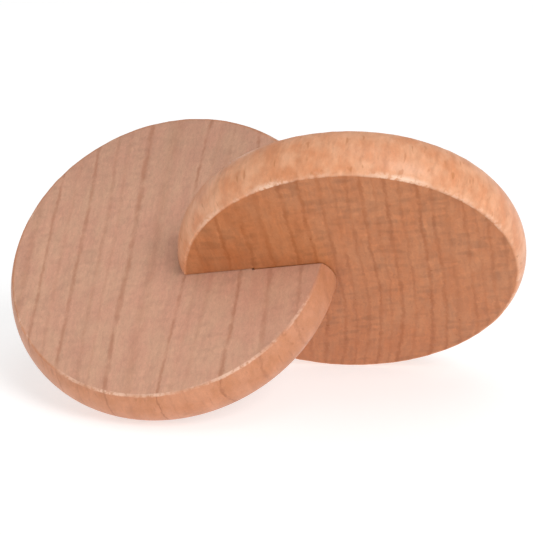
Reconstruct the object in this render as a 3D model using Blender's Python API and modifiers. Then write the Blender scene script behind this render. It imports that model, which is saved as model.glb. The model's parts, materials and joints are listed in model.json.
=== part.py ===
"""A pair of interlocking wooden clapper discs.

Two identical round discs of solid beech each have one open slot, cut straight in from the rim
towards the middle. The discs are pushed through each other's slots until the closed ends of the
slots meet, so the two planes cross along one line, the slot line. Both discs then stand on a
table on their rims, like an X seen end on.

Sizes are in metres. +Z is up, +X runs along the slot line as seen from above, from the left disc
to the right one, and the origin is on the table under the middle of the pair's bounding box.
"""

import math

import bpy
from mathutils import Matrix, Vector

# Disc
DISC_RADIUS = 0.030  # to the fullest part of the rounded rim
THICKNESS = 0.009
RIM_BULGE = 0.0015  # how far the rim swells past the edge of the flat faces
EASED_EDGE = 0.00035  # sanded off where the flat faces meet the rim

# Slot
SLOT_END = 0.0157  # from the disc's centre to the closed end of its slot
SLOT_CLEARANCE = 0.0003  # slot width less disc thickness
SLOT_OFFSET = 0.0014  # how far the slot's centre line runs beside the disc's centre
SLOT_LEAN = math.radians(3.1)  # how far the slot's side walls are cut out of square to the faces

# Fit of one disc in the other
END_GAP = 0.0003  # left between the closed ends of the two slots

# Fineness of the faceted solids
STEPS_AROUND = 96
STEPS_ACROSS_RIM = 8

# The cutter reaches this far past the disc on the sides that it leaves by
CUTTER_OVERRUN = 0.004

# How the pair stands: rolled about the slot line, from both discs being equally steep
ROLL_ON_TABLE = math.radians(-5)

# Search for the pitch of the slot line that sets both rims on the table
LARGEST_PITCH = math.radians(35)
HALVINGS = 50

# Clear-lacquered beech, from two boards
LEFT_COLOUR = (0.58, 0.32, 0.20, 1.0)
RIGHT_COLOUR = (0.60, 0.29, 0.15, 1.0)
BEECH_ROUGHNESS = 0.42

HALF_THICKNESS = THICKNESS / 2
SLOT_WIDTH = THICKNESS + SLOT_CLEARANCE
CENTRE_TO_SLOT_LINE = SLOT_END + END_GAP / 2  # along the slot line, to the middle of the pair


def rim_profile():
    """Half of the disc's section as (radius, height) points, from the top face to the bottom one.

    The rim is one arc that swells by RIM_BULGE between the two faces.
    """
    arc_radius = (HALF_THICKNESS**2 + RIM_BULGE**2) / (2 * RIM_BULGE)
    arc_centre = DISC_RADIUS - arc_radius
    face_radius = DISC_RADIUS - RIM_BULGE
    half_angle = math.asin(HALF_THICKNESS / arc_radius) - EASED_EDGE / arc_radius
    points = [(face_radius - EASED_EDGE, HALF_THICKNESS)]
    for step in range(STEPS_ACROSS_RIM + 1):
        angle = half_angle * (1 - 2 * step / STEPS_ACROSS_RIM)
        points.append((arc_centre + arc_radius * math.cos(angle), arc_radius * math.sin(angle)))
    points.append((face_radius - EASED_EDGE, -HALF_THICKNESS))
    return points


class PlacedDisc:
    """Where one disc's flat slab lies in the pair: its centre, and the normal of its faces."""

    def __init__(self, turn, to_centre):
        self.centre = turn @ to_centre
        self.normal = turn @ Vector((0, 0, 1))

    def lowest_point(self, up):
        """The point of the uncut disc that lies lowest against the direction up."""
        along_normal = self.normal.dot(up)
        in_plane = up - along_normal * self.normal
        outward = -in_plane.normalized()
        radius, height = min(
            (
                (radius, side * height)
                for radius, height in rim_profile()
                for side in (1, -1)
            ),
            key=lambda point: point[1] * along_normal - point[0] * in_plane.length,
        )
        return self.centre + height * self.normal + radius * outward


def turned(roll, pitch):
    """The pair's turn from lying square to the axes: a roll about the slot line, then a pitch."""
    return Matrix.Rotation(pitch, 3, "Y") @ Matrix.Rotation(roll, 3, "X")


def left_over_right(left, right, pitch):
    """How far the left disc's lowest point is above the right one's, at a pitch of the slot line."""
    up = turned(ROLL_ON_TABLE, pitch).transposed() @ Vector((0, 0, 1))
    return left.lowest_point(up).dot(up) - right.lowest_point(up).dot(up)


def pitch_on_table(left, right):
    """The pitch at which both rims touch the table, by halving the range that it is in.

    The slots run beside the discs' centres, one centre above the slot line and one below it, so
    the slot line slopes a little when both discs touch.
    """
    low = -LARGEST_PITCH
    high = LARGEST_PITCH
    low_side = left_over_right(left, right, low) > 0
    for _ in range(HALVINGS):
        middle = (low + high) / 2
        if (left_over_right(left, right, middle) > 0) == low_side:
            low = middle
        else:
            high = middle
    return (low + high) / 2


def clear_scene():
    for obj in list(bpy.data.objects):
        bpy.data.objects.remove(obj, do_unlink=True)


def new_collection(name):
    collection = bpy.data.collections.new(name)
    bpy.context.scene.collection.children.link(collection)
    return collection


def beech(name, colour):
    material = bpy.data.materials.new(name)
    material.use_nodes = True
    shader = material.node_tree.nodes["Principled BSDF"]
    shader.inputs["Base Color"].default_value = colour
    shader.inputs["Roughness"].default_value = BEECH_ROUGHNESS
    shader.inputs["Metallic"].default_value = 0.0
    material.diffuse_color = colour
    return material


def new_empty(name, collection, parent=None):
    empty = bpy.data.objects.new(name, None)
    collection.objects.link(empty)
    empty.parent = parent
    return empty


def slot_cutter(name, disc, collection):
    """A block that cuts the slot: it stands on the slot's centre line and leaves by the rim.

    It leans about that line as the other disc does, so the walls lie along the other's faces.
    """
    length = DISC_RADIUS + CUTTER_OVERRUN - SLOT_END
    bpy.ops.mesh.primitive_cube_add(size=1)
    cutter = bpy.context.object
    cutter.name = name
    cutter.data.transform(Matrix.Diagonal((length, SLOT_WIDTH, THICKNESS + 2 * CUTTER_OVERRUN, 1)))
    cutter.location = (SLOT_END + length / 2, -SLOT_OFFSET, 0)
    cutter.rotation_euler = (-SLOT_LEAN, 0, 0)
    cutter.parent = disc
    cutter.hide_render = True
    cutter.display_type = "WIRE"
    for home in list(cutter.users_collection):
        home.objects.unlink(cutter)
    collection.objects.link(cutter)
    return cutter


def slotted_disc(name, holder, material, parts, cutters):
    """A disc turned from its section, with its slot cut from the +X side of its own frame."""
    section = [(0, HALF_THICKNESS), *rim_profile(), (0, -HALF_THICKNESS)]
    mesh = bpy.data.meshes.new(name)
    mesh.from_pydata(
        [(radius, 0, height) for radius, height in section],
        [(i, i + 1) for i in range(len(section) - 1)],
        [],
    )
    mesh.materials.append(material)
    disc = bpy.data.objects.new(name, mesh)
    parts.objects.link(disc)
    disc.parent = holder
    disc.location = (-CENTRE_TO_SLOT_LINE, SLOT_OFFSET, 0)

    screw = disc.modifiers.new("turn", "SCREW")
    screw.axis = "Z"
    screw.steps = STEPS_AROUND
    screw.render_steps = STEPS_AROUND
    screw.use_merge_vertices = True
    screw.merge_threshold = 0.00001
    screw.use_smooth_shade = True

    cut = disc.modifiers.new("slot", "BOOLEAN")
    cut.operation = "DIFFERENCE"
    cut.solver = "EXACT"
    cut.object = slot_cutter(name + "_slot_cutter", disc, cutters)
    return disc


def world_box(objects):
    """The lowest and highest corners of the evaluated objects."""
    graph = bpy.context.evaluated_depsgraph_get()
    points = []
    for obj in objects:
        evaluated = obj.evaluated_get(graph)
        mesh = evaluated.to_mesh()
        points += [evaluated.matrix_world @ vertex.co for vertex in mesh.vertices]
        evaluated.to_mesh_clear()
    low = Vector([min(point[axis] for point in points) for axis in range(3)])
    high = Vector([max(point[axis] for point in points) for axis in range(3)])
    return low, high


def main():
    clear_scene()
    parts = new_collection("clapper_discs")
    cutters = new_collection("cutters")

    # Each disc's plane stands at this angle over the plane that the slot line and +Y span.
    # The right disc is the left one given half a turn about +Y.
    plane_angle = math.pi / 4 + SLOT_LEAN / 2
    kinds = {
        "left_disc": ((plane_angle, 0, 0), LEFT_COLOUR),
        "right_disc": ((plane_angle, math.pi, 0), RIGHT_COLOUR),
    }

    pair = new_empty("pair", parts)
    discs = []
    placed = []
    to_centre = Vector((-CENTRE_TO_SLOT_LINE, SLOT_OFFSET, 0))
    for name, (angles, colour) in kinds.items():
        # The holder's origin is on the slot line, which the right disc slides out along
        holder = new_empty(name + "_holder", parts, parent=pair)
        holder.rotation_euler = angles
        discs.append(slotted_disc(name, holder, beech(name, colour), parts, cutters))
        placed.append(PlacedDisc(holder.rotation_euler.to_matrix(), to_centre))

    pair.rotation_euler = (ROLL_ON_TABLE, pitch_on_table(*placed), 0)
    bpy.context.view_layer.update()
    low, high = world_box(discs)
    pair.location = (-(low.x + high.x) / 2, -(low.y + high.y) / 2, -low.z)
    bpy.context.view_layer.update()


main()
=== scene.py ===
"""Looks for a pair of interlocking beech clapper discs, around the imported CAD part."""

import json
import math

import bpy
from mathutils import Matrix, Vector, noise


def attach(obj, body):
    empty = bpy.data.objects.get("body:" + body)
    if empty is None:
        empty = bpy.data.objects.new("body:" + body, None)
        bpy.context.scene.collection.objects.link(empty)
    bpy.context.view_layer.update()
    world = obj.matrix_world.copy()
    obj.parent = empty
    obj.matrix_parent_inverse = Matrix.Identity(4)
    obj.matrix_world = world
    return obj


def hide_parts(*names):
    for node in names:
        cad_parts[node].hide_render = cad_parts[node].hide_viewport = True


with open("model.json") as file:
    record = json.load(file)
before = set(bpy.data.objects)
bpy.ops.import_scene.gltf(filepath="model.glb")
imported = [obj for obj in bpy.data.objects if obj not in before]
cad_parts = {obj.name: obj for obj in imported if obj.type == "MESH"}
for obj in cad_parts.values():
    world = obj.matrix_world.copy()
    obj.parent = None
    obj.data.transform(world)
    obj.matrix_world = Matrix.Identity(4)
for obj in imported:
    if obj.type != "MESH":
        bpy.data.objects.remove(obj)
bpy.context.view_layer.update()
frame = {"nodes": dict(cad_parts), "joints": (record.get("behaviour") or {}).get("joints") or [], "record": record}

MM = 0.001

# Fineness of the turned discs
STEPS_AROUND = 240
WALL_STEPS = 96
RIM_STEPS = 20
EDGE_STEPS = 4

# Workmanship, in metres
SUPPORT_RING = 0.25 * MM  # flat ring kept beside the sanded edge, so that the face shades flat
SANDING_UNEVENNESS = 0.07 * MM
SANDED_DEPTH = 0.7 * MM  # how far down the rim hand sanding reaches
SLOT_EDGE_SOFTNESS = 0.12 * MM
CUTTER_OVERRUN = 4 * MM

# The sanded edge's section, against a quarter circle's: how full it is outwards and upwards
EDGE_OUTWARD_POWER = 1.3
EDGE_UPWARD_POWER = 1.2

# Two CAD vertices this close in height or radius belong to the same edge
SAME_EDGE = 0.01 * MM

# Wood and lacquer
BOLDEST_RING = 1.1  # where a ring fades least
DARKEST_LINE = 0.85  # most that rings and dots together cover
LACQUER_COAT = 0.1
LACQUER_ROUGHNESS = 0.22
WOOD_SHEEN = 0.3
GRAIN_RELIEF = 0.05 * MM

# Camera: from the middle of the pair, in degrees and metres
CAMERA_AZIMUTH = 10.24
CAMERA_ELEVATION = 17.1
CAMERA_DISTANCE = 0.2594
CAMERA_TARGET = (0.00113, -0.00114, 0.02292)
CAMERA_LENS = 99.9

# Studio, in metres. The papers glow a little, so that they stay white where little light falls.
WALL_DISTANCE = 4
WALL_HEIGHT = 0.5
FLOOR_GLOW = 0.58
WALL_GLOW = 0.75
WORLD_GLOW = 0.41

# Growth rings as they cross the middle of each face: place across the board, half-width of the
# dark late wood and how dark it is. Places and widths are in millimetres.
LEFT_RINGS = (
    (-27.9, 0.5, 0.30),
    (-25.3, 0.8, 0.42),
    (-22.1, 0.35, 0.80),
    (-19.1, 0.45, 0.30),
    (-15.9, 0.4, 0.80),
    (-12.0, 0.4, 0.42),
    (-9.9, 0.35, 0.28),
    (-6.4, 0.55, 0.85),
    (-1.6, 1.3, 0.38),
    (4.9, 0.34, 0.95),
    (7.4, 0.4, 0.22),
    (9.8, 0.45, 0.25),
    (14.7, 0.36, 1.0),
    (19.8, 0.5, 0.60),
    (25.2, 0.4, 0.60),
    (29.0, 0.5, 0.5),
)
RIGHT_RINGS = (
    (-27.0, 0.4, 0.30),
    (-23.5, 0.4, 0.35),
    (-18.8, 0.4, 0.75),
    (-14.6, 0.5, 0.45),
    (-11.4, 0.6, 0.50),
    (-7.2, 0.4, 0.65),
    (-4.2, 0.4, 0.75),
    (-0.9, 0.4, 0.60),
    (1.1, 0.35, 0.45),
    (3.3, 0.35, 0.50),
    (5.6, 0.4, 0.75),
    (7.6, 0.3, 0.40),
    (9.4, 0.4, 0.80),
    (11.6, 0.35, 0.45),
    (14.4, 0.4, 0.85),
    (16.6, 0.4, 0.75),
    (18.7, 0.6, 0.50),
    (21.5, 0.4, 0.65),
    (23.3, 0.3, 0.35),
    (25.2, 0.4, 0.60),
    (27.6, 0.4, 0.50),
)


# ---------------------------------------------------------------- the discs' places and sizes


def mount_axis(name):
    for mount in frame["record"]["mounts"]:
        if mount["name"] == name:
            return Vector(mount["axis"]).normalized()
    raise KeyError(name)


class Board:
    """One disc's frame and sizes, measured on its CAD node.

    The frame's X runs along the slot line, across the grain. Y runs along the grain, and Z out of
    the face that the pair shows to the front. Its origin is the disc's centre.
    """

    def __init__(self, node, face_normal):
        across = Vector(frame["joints"][0]["axis"]).normalized()
        along = face_normal.cross(across).normalized()
        normal = across.cross(along)
        turn = Matrix((across, along, normal)).transposed()
        points = [turn.transposed() @ v.co for v in frame["nodes"][node].data.vertices]

        def middle_and_half(axis):
            values = [p[axis] for p in points]
            return (min(values) + max(values)) / 2, (max(values) - min(values)) / 2

        self.node = node
        along_middle, self.radius = middle_and_half(1)
        normal_middle, self.half = middle_and_half(2)
        # The slot opens to one side, so only the other side's rim gives the centre.
        lows = min(p.x for p in points) + self.radius
        highs = max(p.x for p in points) - self.radius
        opens_right = node == "left_disc"
        centre = Vector((lows if opens_right else highs, along_middle, normal_middle))
        local = [p - centre for p in points]
        on_face = [p for p in local if abs(p.z) > self.half - SAME_EDGE]
        self.face_radius = max(p.xy.length for p in on_face)
        on_rim = [
            p
            for p in local
            if abs(p.z) < self.half - SAME_EDGE and p.xy.length > 0.8 * self.radius
        ]
        self.edge_height = max(abs(p.z) for p in on_rim)
        self.edge_radius = max(
            p.xy.length for p in local if abs(abs(p.z) - self.edge_height) < SAME_EDGE / 2
        )
        corners = [p for p in on_face if p.xy.length < 0.9 * self.face_radius]
        self.slot_side = 1 if opens_right else -1
        self.slot_end = min(p.x * self.slot_side for p in corners)
        front = [p.y for p in corners if p.z > 0]
        back = [p.y for p in corners if p.z < 0]
        front_middle = (min(front) + max(front)) / 2
        back_middle = (min(back) + max(back)) / 2
        self.slot_middle = (front_middle + back_middle) / 2
        self.slot_lean = math.atan2(front_middle - back_middle, 2 * self.half)
        self.slot_width = (max(front) - min(front)) * math.cos(self.slot_lean)
        self.place = Matrix.Translation(turn @ centre) @ turn.to_4x4()


LEFT = Board("left_disc", mount_axis("left_face"))
RIGHT = Board("right_disc", -mount_axis("right_face"))


# ---------------------------------------------------------------- modelling


def rim_section(board):
    """Points (radius, height) up the outside, from the lower face's edge to the upper one's."""
    bulge = board.radius - board.edge_radius
    arc = (board.edge_height**2 + bulge**2) / (2 * bulge)
    arc_centre = board.radius - arc
    reach = math.asin(board.edge_height / arc)
    edge = board.half - board.edge_height
    rounding = board.edge_radius - board.face_radius
    points = [(board.face_radius - SUPPORT_RING, -board.half)]
    for step in range(EDGE_STEPS):
        turn = math.pi / 2 * step / EDGE_STEPS
        points.append(
            (
                board.face_radius + rounding * math.sin(turn) ** EDGE_OUTWARD_POWER,
                -board.half + edge * (1 - math.cos(turn)) ** EDGE_UPWARD_POWER,
            )
        )
    for step in range(RIM_STEPS + 1):
        angle = reach * (2 * step / RIM_STEPS - 1)
        points.append((arc_centre + arc * math.cos(angle), arc * math.sin(angle)))
    points += [(radius, -height) for radius, height in reversed(points[: EDGE_STEPS + 1])]
    return points


def deselect_all():
    bpy.ops.object.select_all(action="DESELECT")


def apply_all(piece):
    bpy.context.view_layer.objects.active = piece
    for modifier in list(piece.modifiers):
        bpy.ops.object.modifier_apply(modifier=modifier.name)


def turn_disc(board, name):
    """Raises a disc from its lower face, ring by ring."""
    section = rim_section(board)
    deselect_all()
    bpy.ops.mesh.primitive_circle_add(
        vertices=STEPS_AROUND, radius=section[0][0], fill_type="NGON"
    )
    disc = bpy.context.object
    disc.name = name
    bpy.ops.object.mode_set(mode="EDIT")
    bpy.ops.transform.translate(value=(0, 0, section[0][1]))
    for (radius, height), (next_radius, next_height) in zip(section, section[1:]):
        bpy.ops.mesh.extrude_region_move(
            TRANSFORM_OT_translate={"value": (0, 0, next_height - height)}
        )
        growth = next_radius / radius
        bpy.ops.transform.resize(
            value=(growth, growth, 1), center_override=(0, 0, next_height)
        )
    bpy.ops.mesh.select_all(action="SELECT")
    bpy.ops.mesh.normals_make_consistent(inside=False)
    bpy.ops.object.mode_set(mode="OBJECT")
    return disc


def sand_edges(disc, board):
    """Hand sanding takes a little more off the crisp edges in some places than in others."""
    seed = Vector((3.1, 7.7, 1.3)) * board.slot_side
    for vertex in disc.data.vertices:
        radius = vertex.co.xy.length
        depth = board.half - abs(vertex.co.z)
        if radius < board.face_radius - 0.05 * MM or depth > SANDED_DEPTH:
            continue
        direction = vertex.co.xy.normalized()
        side = math.copysign(5, vertex.co.z)
        place = Vector((direction.x * 14, direction.y * 14, side)) + seed
        taken = SANDING_UNEVENNESS * (0.5 + noise.fractal(place, 0.8, 2.0, 3))
        taken = max(0.0, taken) * (1 - depth / SANDED_DEPTH)
        vertex.co.x -= direction.x * taken
        vertex.co.y -= direction.y * taken
        vertex.co.z -= math.copysign(0.4 * taken, vertex.co.z)


def cut_slot(disc, board):
    length = board.radius + CUTTER_OVERRUN - board.slot_end
    deselect_all()
    bpy.ops.mesh.primitive_cube_add(
        size=1,
        location=(
            board.slot_side * (board.slot_end + length / 2),
            board.slot_middle,
            0,
        ),
    )
    cutter = bpy.context.object
    bpy.ops.object.mode_set(mode="EDIT")
    bpy.ops.transform.resize(
        value=(length, board.slot_width, 2 * (board.half + CUTTER_OVERRUN)),
        center_override=cutter.location,
    )
    bpy.ops.object.mode_set(mode="OBJECT")
    cutter.rotation_euler.x = -board.slot_lean
    cut = disc.modifiers.new("slot", "BOOLEAN")
    cut.operation = "DIFFERENCE"
    cut.solver = "EXACT"
    cut.object = cutter
    soften = disc.modifiers.new("slot_edges", "BEVEL")
    soften.limit_method = "ANGLE"
    soften.angle_limit = math.radians(55)
    soften.width = SLOT_EDGE_SOFTNESS
    soften.segments = 3
    soften.use_clamp_overlap = True
    deselect_all()
    disc.select_set(True)
    apply_all(disc)
    bpy.data.objects.remove(cutter, do_unlink=True)


def make_disc(board, name, body):
    disc = turn_disc(board, name)
    sand_edges(disc, board)
    cut_slot(disc, board)
    deselect_all()
    disc.select_set(True)
    bpy.context.view_layer.objects.active = disc
    bpy.ops.object.shade_smooth_by_angle(angle=math.radians(32))
    disc.matrix_world = board.place
    bpy.ops.object.transform_apply(location=True, rotation=True, scale=True)
    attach(disc, body)
    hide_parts(board.node)
    return disc


# ---------------------------------------------------------------- materials


# Sockets of the Mix node that share their names with those for numbers and vectors
MIX_FACTOR = 0
MIX_FIRST_COLOUR = 6
MIX_SECOND_COLOUR = 7
MIX_COLOUR_OUT = 2


class Signal:
    """A socket that carries a number, with arithmetic that adds Math nodes."""

    def __init__(self, shop, socket):
        self.shop = shop
        self.socket = socket

    def math(self, operation, *others):
        inputs = dict(enumerate((self, *others)))
        return self.shop.add("ShaderNodeMath", {"operation": operation}, inputs).out("Value")

    def __add__(self, other):
        return self.math("ADD", other)

    def __radd__(self, other):
        return self.math("ADD", other)

    def __sub__(self, other):
        return self.math("SUBTRACT", other)

    def __rsub__(self, other):
        return (self * -1).math("ADD", other)

    def __mul__(self, other):
        return self.math("MULTIPLY", other)

    def __rmul__(self, other):
        return self.math("MULTIPLY", other)

    def __truediv__(self, other):
        return self.math("DIVIDE", other)

    def __abs__(self):
        return self.math("ABSOLUTE")

    def ramp(self, low, high, out_low=0.0, out_high=1.0):
        """This value eased from low..high to out_low..out_high, and held at both ends."""
        return self.shop.add(
            "ShaderNodeMapRange",
            {"interpolation_type": "SMOOTHSTEP", "clamp": True},
            {
                "Value": self,
                "From Min": low,
                "From Max": high,
                "To Min": out_low,
                "To Max": out_high,
            },
        ).out("Result")


class Made:
    """A node that has been added, whose outputs are read by name."""

    def __init__(self, shop, node):
        self.shop = shop
        self.node = node

    def out(self, name):
        return Signal(self.shop, self.node.outputs[name])


class Shop:
    """One material's node tree."""

    def __init__(self, name):
        self.material = bpy.data.materials.new(name)
        self.material.use_nodes = True
        self.tree = self.material.node_tree
        self.shader = self.tree.nodes["Principled BSDF"]

    def add(self, kind, settings=None, inputs=None):
        node = self.tree.nodes.new(kind)
        for name, value in (settings or {}).items():
            setattr(node, name, value)
        for name, value in (inputs or {}).items():
            self.feed(node.inputs[name], value)
        return Made(self, node)

    def feed(self, socket, value):
        if isinstance(value, Signal):
            self.tree.links.new(value.socket, socket)
        else:
            socket.default_value = value

    def vector(self, x, y, z):
        return self.add("ShaderNodeCombineXYZ", None, {"X": x, "Y": y, "Z": z}).out("Vector")

    def noise(self, x, y, z, detail=2.0, roughness=0.5, seed=0.0):
        """A noise from 0 to 1 about 0.5, at the coordinates given."""
        return self.add(
            "ShaderNodeTexNoise",
            {"noise_dimensions": "4D"},
            {
                "Vector": self.vector(x, y, z),
                "W": seed,
                "Scale": 1.0,
                "Detail": detail,
                "Roughness": roughness,
            },
        ).out("Fac")

    def mix(self, factor, first, second):
        """Colours mixed by a factor."""
        inputs = {MIX_FACTOR: factor, MIX_FIRST_COLOUR: first, MIX_SECOND_COLOUR: second}
        return self.add("ShaderNodeMix", {"data_type": "RGBA"}, inputs).out(MIX_COLOUR_OUT)


def board_coordinates(shop, board):
    """The place in the board's own frame, in millimetres: across, along and through."""
    location, rotation, _ = board.place.decompose()
    place = shop.add(
        "ShaderNodeMapping",
        {"vector_type": "TEXTURE"},
        {
            "Vector": shop.add("ShaderNodeTexCoord").out("Object"),
            "Location": location,
            "Rotation": rotation.to_euler(),
            "Scale": (MM, MM, MM),
        },
    ).out("Vector")
    split = shop.add("ShaderNodeSeparateXYZ", None, {"Vector": place})
    return split.out("X"), split.out("Y"), split.out("Z")


def soft_lines(across, lines, softness=1.0, sharpness=1.0):
    """The strongest of some soft lines, each given as its place, half-width and strength.

    softness widens them all, and sharpness, which may vary from place to place, narrows them.
    """
    total = None
    for place, half_width, strength in lines:
        distance = abs(across - place) * sharpness
        line = distance.ramp(0.0, half_width * softness, strength, 0.0)
        total = line if total is None else total.math("MAXIMUM", line)
    return total


def beech(board, name, grain, rings, look):
    """Clear-lacquered beech.

    grain(x, y) gives how far a ring has moved across the board at a place on the face.
    """
    shop = Shop(name)
    x, y, z = board_coordinates(shop, board)
    seed = look["seed"]
    radius = (x * x + y * y).math("SQRT")
    face_edge = board.face_radius / MM
    rim = radius.ramp(face_edge - 0.1, face_edge + 0.4)
    face = 1 - rim

    # Growth rings: they waver slowly, shiver at the scale of the fibres, and fade in places
    waver = (shop.noise(x * 0.09, y * 0.035, z * 0.09, 2.0, 0.5, seed) - 0.5) * 1.6
    ripple = (shop.noise(x * 0.4, y * 0.2, z * 0.4, 2.0, 0.6, seed + 3) - 0.5) * look["ripple"]
    shiver = (shop.noise(x * 1.6, y * 0.9, z * 0.9, 2.0, 0.6, seed + 4) - 0.5) * look["shiver"]
    across = x - grain(x, y) + z * look["ring_slope"] + waver + ripple + shiver
    fading = shop.noise(across * 0.5, y * 0.3, z * 0.4, 3.0, 0.65, seed + 5).ramp(0.3, 0.6)
    rim_sharpness = 1 + rim * look["rim_ring_sharpness"]
    lines = soft_lines(across, rings, look["ring_softness"], rim_sharpness) * look["ring_strength"]
    lines = lines * (look["faintest_ring"] + fading * (BOLDEST_RING - look["faintest_ring"]))
    lines = lines * (1 + rim * look["rim_ring_gain"])

    # Colour that changes slowly along the grain, fine streaks, and fibres too short to follow
    patches = shop.noise(across * 0.25, y * 0.12, z * 0.25, 4.0, 0.7, seed + 7)
    bands = shop.noise(across * 0.42, y * 0.02, z * 0.3, 3.0, 0.6, seed + 9)
    streaks = shop.noise(across * 1.5, y * 0.2, z * 0.5, 3.0, 0.6, seed + 11)
    fibres = shop.noise(across * 2.4, y * 1.1, z * 1.6, 4.0, 0.7, seed + 13)
    pores = shop.noise(x * 5.0, y * 4.0, z * 5.0, 2.0, 0.6, seed + 15)

    # Rays: thin marks across the grain on the faces, dark dashes through the board on the rim
    dark_rays = shop.noise(across * 0.4, y * 0.85, z * 1.2, 0.5, 0.5, seed + 19).ramp(0.42, 0.75)
    pale_rays = shop.noise(across * 0.9, y * 0.8, z * 1.2, 1.0, 0.5, seed + 20).ramp(0.52, 0.75)
    ray_patches = shop.noise(x * 0.12, y * 0.12, z * 0.12, 2.0, 0.5, seed + 21).ramp(0.35, 0.6, 0.35, 1.2)
    dots = shop.noise(x * 1.7, y * 1.7, z * 1.7, 1.0, 0.5, seed + 23).ramp(0.74, 0.80)
    mottle = shop.noise(x * 0.3, y * 0.3, z * 0.22, 3.0, 0.6, seed + 25)
    rim_streaks = shop.noise(x * 1.2, y * 1.2, z * 0.3, 3.0, 0.6, seed + 27)
    dashes = shop.noise(x * 1.2, y * 1.2, z * 0.35, 1.0, 0.5, seed + 29).ramp(0.62, 0.76)

    # The eased edge between face and rim: a broken pale line painted along it, partly the paler sanded wood and
    # partly a painted highlight for the glint that the edge catches
    # noise that makes the painted highlight's boundary ragged
    highlight_jitter = shop.noise(x * 0.9, y * 0.9, z * 1.4, 3.0, 0.7, seed + 31)
    edge_depth = board.half / MM - abs(z) + (highlight_jitter - 0.5) * 0.5
    bearing = y.math("ARCTAN2", x) * (180 / math.pi)
    # painted highlight: strongest at the bearings listed for each disc, on the front side only
    sanded_highlight = soft_lines(bearing, look["sanded_edge_highlight_spots"]) * z.ramp(-1.0, 1.0)
    # painted highlight also in spots scattered by noise along the edges of both faces
    scattered = shop.noise(x * 0.16, y * 0.16, z * 0.1, 4.0, 0.7, seed + 33).ramp(0.5, 0.66, 0.0, 0.6)
    edge = (
        radius.ramp(face_edge - 0.08, face_edge + 0.1)
        * edge_depth.ramp(0.1, look["edge_width"], 1.0, 0.0)
        * sanded_highlight.math("MAXIMUM", scattered)
        * shop.noise(x * 1.3, y * 1.3, z * 1.3, 2.0, 0.6, seed + 35).ramp(0.36, 0.56, 0.15, 1.0)
    )

    face_wood = shop.mix(patches.ramp(0.3, 0.7), look["wood_pale"], look["wood_warm"])
    rim_wood = shop.mix(mottle.ramp(0.32, 0.68), look["rim_pale"], look["rim_warm"])
    wood = shop.mix(rim, face_wood, rim_wood)
    tone = (
        1.0
        + (bands - 0.5) * look["band_depth"]
        + (streaks - 0.5) * (1 - rim * 0.6) * look["streak_depth"]
        + (fibres - 0.5) * (1 - rim * 0.5) * look["fibre_depth"]
        + (pores - 0.5) * look["pore_depth"]
        + (pale_rays * 0.6 - dark_rays) * ray_patches * face * look["ray_depth"]
        # painted shade: the face darkens towards its far end along the grain, standing in for the shade the other
        # disc casts there
        - y.ramp(5.0, 28.0) * look["painted_far_end_shade"]
        + (rim_streaks - 0.5) * rim * look["rim_streak_depth"]
    )
    shade = shop.add("ShaderNodeVectorMath", {"operation": "SCALE"}, {0: wood, "Scale": tone})
    dark = lines * look["ring_depth"] + dots * face * look["dot_depth"]
    colour = shop.mix(dark.math("MINIMUM", DARKEST_LINE), shade.out("Vector"), look["late_wood"])
    colour = shop.mix(dashes * rim * look["dash_depth"], colour, look["dash_wood"])
    # painted highlight: the pale edge colour mixed in along the eased edge
    colour = shop.mix(edge * look["edge_depth"], colour, look["edge_highlight_colour"])
    shop.feed(shop.shader.inputs["Base Color"], colour)

    rough = (
        look["roughness"]
        + (streaks - 0.5) * 0.10
        + (fibres - 0.5) * 0.14
        + lines * 0.05
        - edge * 0.10
    )
    shop.feed(shop.shader.inputs["Roughness"], rough)
    relief = (
        (streaks - 0.5) * 0.35
        + (fibres - 0.5) * 0.6
        + (pores - 0.5) * 0.3
        - dark_rays * face * 0.12
        - lines * 0.4
        - dashes * rim * 0.6
    )
    bump = shop.add(
        "ShaderNodeBump",
        None,
        {"Strength": 0.45, "Distance": GRAIN_RELIEF, "Height": relief},
    ).out("Normal")
    shop.feed(shop.shader.inputs["Normal"], bump)
    shop.shader.inputs["Coat Weight"].default_value = LACQUER_COAT
    shop.shader.inputs["Coat Roughness"].default_value = LACQUER_ROUGHNESS
    shop.shader.inputs["Specular IOR Level"].default_value = WOOD_SHEEN
    return shop.material


def bell(x, middle, width):
    """1 at the middle, falling off smoothly to both sides."""
    away = (x - middle) / width
    return (away * away * -1).math("EXPONENT")


def left_grain(x, y):
    """Rings fan a little towards the slot, and step over behind the other disc."""
    lean = bell(x, 4.0, 9.0) * 0.09 + 0.07
    return lean * y - bell(x, 5.0, 7.0) * y.ramp(-5.0, 15.0, 0.0, 2.2)


def right_grain(x, y):
    """Rings lean a little at the top and sweep to the left lower down."""
    sweep = y.math("MINIMUM", 0.0)
    return y * 0.055 - sweep * sweep * x.ramp(4.0, 20.0, 0.0045, 0.0002)


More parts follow.
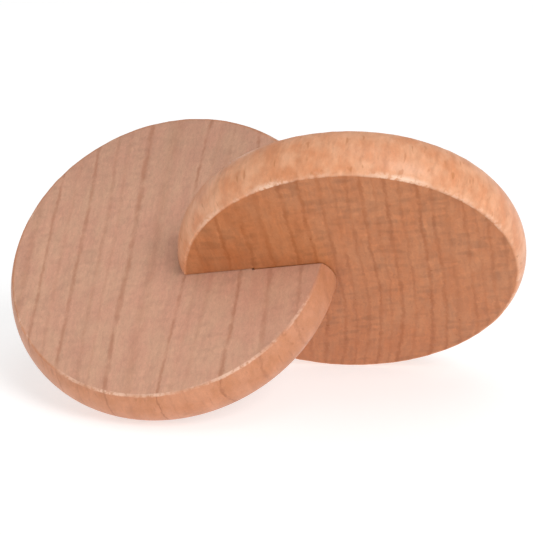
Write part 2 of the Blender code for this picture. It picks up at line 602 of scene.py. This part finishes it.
LEFT_LOOK = {
    "seed": 1.0,
    "ring_slope": 0.09,
    "ring_softness": 1.5,
    "ring_strength": 0.9,
    "ripple": 0.7,
    "shiver": 0.8,
    "faintest_ring": 0.2,
    "rim_ring_sharpness": 0.9,
    "rim_ring_gain": 0.2,
    "wood_pale": (0.625, 0.355, 0.235, 1.0),
    "wood_warm": (0.620, 0.315, 0.215, 1.0),
    "rim_pale": (0.63, 0.280, 0.155, 1.0),
    "rim_warm": (0.56, 0.230, 0.110, 1.0),
    "late_wood": (0.36, 0.130, 0.060, 1.0),
    "dash_wood": (0.36, 0.13, 0.055, 1.0),
    # colour of the painted highlight on the eased edge
    "edge_highlight_colour": (0.95, 0.66, 0.50, 1.0),
    "band_depth": 0.22,
    "streak_depth": 0.20,
    "fibre_depth": 0.40,
    "ray_depth": 0.07,
    "pore_depth": 0.24,
    # painted shade towards the far end of the face
    "painted_far_end_shade": 0.10,
    "ring_depth": 0.58,
    "dot_depth": 0.25,
    "rim_streak_depth": 0.25,
    "dash_depth": 0.35,
    # painted highlight on the eased edge: bearings where it is strongest, then its width and strength
    "sanded_edge_highlight_spots": ((-122, 10, 0.7), (-106, 14, 1.0), (-90, 12, 0.8), (-62, 22, 0.9), (-32, 10, 0.6)),
    "edge_width": 0.33,
    "edge_depth": 0.75,
    "roughness": 0.44,
}
RIGHT_LOOK = {
    "seed": 31.0,
    "ring_slope": 0.2,
    "ring_softness": 1.4,
    "ring_strength": 0.95,
    "ripple": 1.1,
    "shiver": 1.1,
    "faintest_ring": 0.45,
    "rim_ring_sharpness": 0.0,
    "rim_ring_gain": -0.7,
    "wood_pale": (0.520, 0.206, 0.086, 1.0),
    "wood_warm": (0.495, 0.168, 0.059, 1.0),
    "rim_pale": (0.81, 0.41, 0.235, 1.0),
    "rim_warm": (0.70, 0.285, 0.135, 1.0),
    "late_wood": (0.31, 0.078, 0.012, 1.0),
    "dash_wood": (0.50, 0.18, 0.06, 1.0),
    # colour of the painted highlight on the eased edge
    "edge_highlight_colour": (0.98, 0.70, 0.52, 1.0),
    "band_depth": 0.20,
    "streak_depth": 0.5,
    "fibre_depth": 0.30,
    "ray_depth": 0.15,
    "pore_depth": 0.16,
    "painted_far_end_shade": 0.0,
    "ring_depth": 0.62,
    "dot_depth": 0.55,
    "rim_streak_depth": 0.28,
    "dash_depth": 0.55,
    # painted highlight on the eased edge: bearings where it is strongest, then its width and strength
    "sanded_edge_highlight_spots": ((64, 18, 1.0), (44, 12, 0.5), (90, 12, 0.35), (106, 12, 0.9), (135, 14, 0.5)),
    "edge_width": 0.85,
    "edge_depth": 0.75,
    "roughness": 0.44,
}

left = make_disc(LEFT, "left_beech_disc", "left")
left.data.materials.clear()
left.data.materials.append(beech(LEFT, "left_beech", left_grain, LEFT_RINGS, LEFT_LOOK))
right = make_disc(RIGHT, "right_beech_disc", "right")
right.data.materials.clear()
right.data.materials.append(beech(RIGHT, "right_beech", right_grain, RIGHT_RINGS, RIGHT_LOOK))


# ---------------------------------------------------------------- stage, light and camera


def studio_paper(name, glow):
    shop = Shop(name)
    shop.shader.inputs["Base Color"].default_value = (0.6, 0.6, 0.6, 1.0)
    shop.shader.inputs["Roughness"].default_value = 0.9
    shop.shader.inputs["Emission Color"].default_value = (1.0, 1.0, 1.0, 1.0)
    shop.shader.inputs["Emission Strength"].default_value = glow
    shop.shader.inputs["Specular IOR Level"].default_value = 0.1
    return shop.material


def make_stage():
    """A white floor, and a low white wall around it that hides the horizon."""
    deselect_all()
    bpy.ops.mesh.primitive_plane_add(size=2.5 * WALL_DISTANCE)
    floor = bpy.context.object
    floor.name = "floor"
    floor.data.materials.append(studio_paper("floor_paper", FLOOR_GLOW))
    deselect_all()
    bpy.ops.mesh.primitive_cylinder_add(
        vertices=WALL_STEPS, radius=WALL_DISTANCE, depth=2 * WALL_HEIGHT, end_fill_type="NOTHING"
    )
    wall = bpy.context.object
    wall.name = "wall"
    wall.data.materials.append(studio_paper("wall_paper", WALL_GLOW))


def direction(azimuth, elevation):
    """A unit vector towards a place seen from the pair; azimuth 0 is the front."""
    azimuth = math.radians(azimuth)
    elevation = math.radians(elevation)
    return Vector(
        (
            math.sin(azimuth) * math.cos(elevation),
            -math.cos(azimuth) * math.cos(elevation),
            math.sin(elevation),
        )
    )


def aim(thing, azimuth, elevation, distance, target):
    thing.location = Vector(target) + direction(azimuth, elevation) * distance
    thing.rotation_euler = direction(azimuth, elevation).to_track_quat("Z", "Y").to_euler()


def soft_light(name, azimuth, elevation, distance, size, power):
    data = bpy.data.lights.new(name, "AREA")
    data.shape = "DISK"
    data.size = size
    data.energy = power
    light = bpy.data.objects.new(name, data)
    bpy.context.scene.collection.objects.link(light)
    aim(light, azimuth, elevation, distance, CAMERA_TARGET)


make_stage()
soft_light("key_softbox", azimuth=47, elevation=40, distance=2.6, size=1.2, power=28)
soft_light("overhead_softbox", azimuth=45, elevation=75, distance=2.6, size=1.5, power=11)

world = bpy.data.worlds.new("studio")
world.use_nodes = True
world.node_tree.nodes["Background"].inputs["Color"].default_value = (1.0, 1.0, 1.0, 1.0)
world.node_tree.nodes["Background"].inputs["Strength"].default_value = WORLD_GLOW
bpy.context.scene.world = world
bpy.context.scene.view_settings.view_transform = "Standard"

camera_data = bpy.data.cameras.new("camera")
camera_data.lens = CAMERA_LENS
camera_data.sensor_width = 36
camera_data.clip_start = 0.01
camera_data.clip_end = 20
camera = bpy.data.objects.new("camera", camera_data)
bpy.context.scene.collection.objects.link(camera)
aim(camera, CAMERA_AZIMUTH, CAMERA_ELEVATION, CAMERA_DISTANCE, CAMERA_TARGET)
bpy.context.scene.camera = camera
